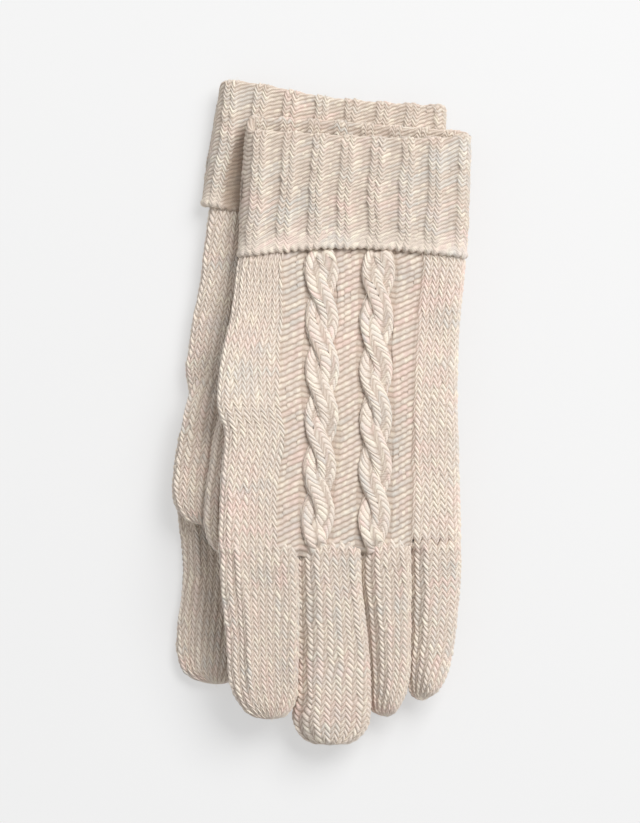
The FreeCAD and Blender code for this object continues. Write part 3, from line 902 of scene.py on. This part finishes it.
# --------------------------------------------------------------------- cuff
def cuff(side):
    zc = Z_CUFF_L if side == "left" else Z_CUFF_R
    sgn = 1 if side == "left" else -1
    t_out, t_in, rho = 4.55, 1.95, 1.3
    lip = 0.85
    # edges of the cuff, left to right
    xlb, xrb = X(236.0), X(469.0)
    xlt, xrt = X(245.0), X(472.0)
    if side == "right":
        xlb, xlt, xrt = xlb - 2.3, xlt - 1.0, xrt + 1.3

    def y_bot(x):
        if side == "right":
            return np.interp(x, X([231, 242, 258, 280, 300, 360, 401, 440, 468]),
                             Y([242.5, 243, 246, 248, 248, 248.5, 250, 253.5, 256.5]))
        return np.interp(x, X([236, 262, 292, 321, 360, 401, 440, 468]),
                         Y([255.5, 252.5, 248.8, 246.6, 246.8, 248.4, 252.4, 256.2]))

    def y_top(x, front):
        f = np.interp(x, X([243, 262, 290, 340, 400, 440, 472]), Y([129, 131, 132, 135.5, 138, 138, 135]))
        b = np.interp(x, X([245, 330, 400, 472]), Y([115.5, 119.5, 125.5, 131.5]))
        if side == "right":
            b = np.interp(x, X([246, 270, 296, 324, 351, 378, 414, 446, 472]),
                          Y([117.2, 118.2, 121, 125.8, 129.4, 131, 132.3, 132.6, 132.3]))
        return b * (1 - front) + f * front

    # path across the fabric: inside the edge, round it, up, over the fold, down inside
    segs = [("in0", 6.0, 10), ("edge", np.pi * lip, 12), ("out", 48.0, 110), ("fold", np.pi * rho, 20),
            ("in1", 13.0, 26)]
    q = []
    for name, ln, k in segs:
        for i in range(k):
            q.append((name, i / k))
    q.append(("in1", 1.0))
    rowsP = []
    for name, f in q:
        if name == "in0":
            yb, T, kind = 6.0 * (1 - f), t_out - 2 * lip, 0
        elif name == "edge":
            a = np.pi * f
            yb, T, kind = -lip * math.sin(a), t_out - lip - lip * math.cos(a), 0
        elif name == "out":
            yb, T, kind = f, t_out, 1
        elif name == "fold":
            a = np.pi * f
            yb, T, kind = rho * math.sin(a), t_out - rho + rho * math.cos(a), 2
        else:
            yb, T, kind = -13.0 * f, t_out - 2 * rho, 3
        e = t_out - T
        # left and right edges at this height on the cuff
        if kind == 0:
            lo = 0.0
        elif kind == 1:
            lo = f
        else:
            lo = 1.0 if kind == 2 else 1 - 13.0 * f / 50
        xl = xlb + (xlt - xlb) * lo + 0.7 + e
        xr = xrb + (xrt - xrb) * lo - 0.7 - e
        x, h = ring(xl, xr, T, T)
        front = smooth((h * sgn / max(T, 0.1) + 0.75) / 1.5)
        bot = y_bot(x) + lip
        top = y_top(x, front) - rho
        if kind == 0:
            y = bot + yb
        elif kind == 1:
            y = bot + (top - bot) * yb
        else:
            y = top + yb
        z = zc + h
        rowsP.append(np.stack([x, y, z], -1))
    P = np.array(rowsP)
    s = 120 + (side == "right")
    up = P[:, :, 2] > zc
    n = 0.45 * noise(P[:, :, 0] / 15, P[:, :, 1] / 19, s) + 0.2 * noise(P[:, :, 0] / 7, P[:, :, 1] / 9, s + 5)
    lim = np.where(up, n, 0.25 * n + 0.1)
    P[:, :, 2] += lim if side == "left" else np.where(up, n, 0.2 * n + 0.15)
    def pressed(x, y):
        x0 = np.interp(-y, -Y(np.array([160.0, 180.0, 210.0, 240.0])), X(np.array([270.0, 263.0, 255.0, 252.0])))
        return smooth((x - x0) / 6.5 + 0.5) * smooth((Y(158.0) - y) / 11.0)

    if side == "right":
        # pushed down where the other glove lies on it
        deep = 0.8 * np.clip((P[:, :, 2] - zc) / t_out, 0, 1)
        P[:, :, 2] -= np.where(up, deep * pressed(P[:, :, 0], P[:, :, 1]), 0)
    # even the rows out along the path
    mid = P[:, 60]
    d = np.concatenate([[0], np.cumsum(np.linalg.norm(np.diff(mid, axis=0), axis=1))])
    k = np.interp(np.linspace(0, d[-1], 300), d, np.arange(len(d)))
    i = np.clip(np.floor(k).astype(int), 0, len(d) - 2)
    fr = (k - i)[:, None, None]
    surf = Surf(P[i] * (1 - fr) + P[i + 1] * fr, sign=-1.0)
    total = d[-1]
    rows = int(round(total / 1.56))
    v_edge = (6.0 + np.pi * lip * 0.5) / total
    v_fold = (total - 13.0 - np.pi * rho * 0.55) / total

    n = 64
    off = -0.0102
    cols = "".join("PPKK"[k % 4] for k in range(n))
    wb = np.linspace(0, 2, n + 1) + off

    def relief(W, v, lift):
        # a bead of yarn round every stitch of the cast-on edge, and slack
        # rows above it where the ribs have not yet drawn in
        q = (v - v_edge) * total
        e = np.exp(-((q - 0.3) / 1.5) ** 2)
        k = 0.5 + 0.5 * np.cos(2 * np.pi * ((W - off) * 32 - 0.5))
        own = noise((W - off) * 32, 0 * W + 4.0, 151)
        slack = 1 - np.exp(-(np.maximum(q, 0) / 6.5) ** 2.4)
        flat = 1 - 0.65 * np.exp(-(((v - v_fold) * total) / 4.0) ** 2)
        return e * (0.15 + (0.80 + 0.45 * own) * k ** 0.7), lift * slack * flat, 0.45 + 0.55 * slack

    def pale(W, v):
        # painted shade for the cuff: the slack cast-on rows, fuzzier and paler, get less of the painted valley shade
        q = (v - v_edge) * total
        c = -0.22 * np.exp(-(np.maximum(q, 0) / 5.5) ** 2.0)
        # painted shade from just before the fold down the inside of the cuff
        c = c + 0.10 * smooth((v - v_fold) * total / 3.0 + 1.5)
        if side == "right":
            # painted shadow where the other glove lies on it
            p, _ = surf.at(W, v)
            c = c + 0.70 * pressed(p[..., 0], p[..., 1]) * (p[..., 2] > zc)
        return c

    g = knit(surf, cols, wb, rows, 0, 1, slope=1.15, amp=0.90, segs=6, seed=130 + (side == "right"),
             rib=0.62, closed=True, relief=relief, phis=np.array([0.0, 0.16, 0.5, 0.84]),
             tilt={"K": -0.78, "P": 0.78}, flip=True, painted_shade=pale)
    ob = build(side + "_cuff_turnback_rib", g, MAT["rib"], side)

    # inner band, from inside the fold to the wrist
    ys = np.linspace(Y(150.0), Y(246.0), 60)
    rowsP = []
    for y in ys:
        k = (y - ys[-1]) / (ys[0] - ys[-1])
        xl = xlb + (xlt - xlb) * k + 3.6
        xr = xrb + (xrt - xrb) * k - 3.6
        x, h = ring(xl, xr, 2.1, 2.1)
        rowsP.append(np.stack([x, np.full_like(x, y), zc + h], -1))
    S = Surf(np.array(rowsP))
    g = knit(S, cols, wb, 24, 0, 1, slope=1.15, amp=0.5, segs=4, seed=140, rib=0.25, closed=True,
             phis=np.array([0.0, 0.3, 0.7]))
    ob2 = build(side + "_cuff_band_rib", g, MAT["rib"], side)
    return ob, ob2


# ----------------------------------------------------------------- assembly
P_AXIS = Vector((math.cos(math.radians(8)), 0, -math.sin(math.radians(8))))
for side in ("right", "left"):
    body = side + "_glove"
    surf, back, palm = hands(side)
    for ob, key in ((back, "stockinette_knit"), (palm, "stockinette_knit")):
        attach(ob, body)
    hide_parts(side + "_hand")
    for which, nm, phase, seed in ((0, "thumb_side", 0.936, 11), (1, "little_side", 0.90, 17)):
        gs = cable(side, surf, which, phase, seed)
        ob = join_grids("%s_cable_%s_knit" % (side, nm), gs, MAT["cable"], side)
        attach(ob, body)
        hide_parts("%s_cable_%s" % (side, nm))
    turn, band = cuff(side)
    for ob, nm in ((turn, "cuff_turnback"), (band, "cuff_band")):
        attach(ob, body)
        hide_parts("%s_%s" % (side, nm))
    for nm in FINGER:
        ob = finger(side, nm)
        if side == "left":
            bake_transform(ob)
        else:
            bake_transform(ob)
        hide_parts("%s_%s" % (side, nm))
    ob = thumb(side)
    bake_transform(ob)
    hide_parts(side + "_thumb")

# --------------------------------------------------------- floor and lights
fm = bpy.data.materials.new("pale_floor")
fm.use_nodes = True
b = fm.node_tree.nodes["Principled BSDF"]
b.inputs["Base Color"].default_value = (0.40, 0.40, 0.40, 1)
b.inputs["Emission Color"].default_value = (1, 1, 1, 1)
b.inputs["Emission Strength"].default_value = 0.45
b.inputs["Roughness"].default_value = 0.9
b.inputs["Specular IOR Level"].default_value = 0.1
me = bpy.data.meshes.new("floor")
me.from_pydata([(-6, -6, -0.0002), (6, -6, -0.0002), (6, 6, -0.0002), (-6, 6, -0.0002)], [], [(0, 1, 2, 3)])
floor = bpy.data.objects.new("floor", me)
bpy.context.collection.objects.link(floor)
me.materials.append(fm)


def area(name, loc, size, power, target=(0, 0, 0.01), col=(1, 1, 1)):
    d = bpy.data.lights.new(name, "AREA")
    d.shape = "RECTANGLE"
    d.size, d.size_y = size
    d.energy = power
    d.color = col
    o = bpy.data.objects.new(name, d)
    o.location = loc
    o.rotation_euler = (Vector(target) - Vector(loc)).to_track_quat("-Z", "Y").to_euler()
    bpy.context.collection.objects.link(o)
    return o


area("key_softbox", (1.02, 1.26, 1.76), (1.5, 1.5), 55.0)
w = bpy.data.worlds.new("studio")
bpy.context.scene.world = w
w.use_nodes = True
w.node_tree.nodes["Background"].inputs[0].default_value = (1, 1, 1, 1)
w.node_tree.nodes["Background"].inputs[1].default_value = 0.50
bpy.context.scene.view_settings.view_transform = "Standard"

# ------------------------------------------------------------------- camera
cam = bpy.data.cameras.new("camera")
co = bpy.data.objects.new("camera", cam)
bpy.context.collection.objects.link(co)
D = 2.0
cam.sensor_width = 36.0
cam.lens = D * 36.0 / (823 * 0.39 * MM)
cam.clip_start, cam.clip_end = 0.05, 20
co.location = (X(320.0) * MM + SHIFT[0] * MM, SHIFT[1] * MM, D + 0.024)
co.rotation_euler = (0, 0, 0)
bpy.context.scene.camera = co
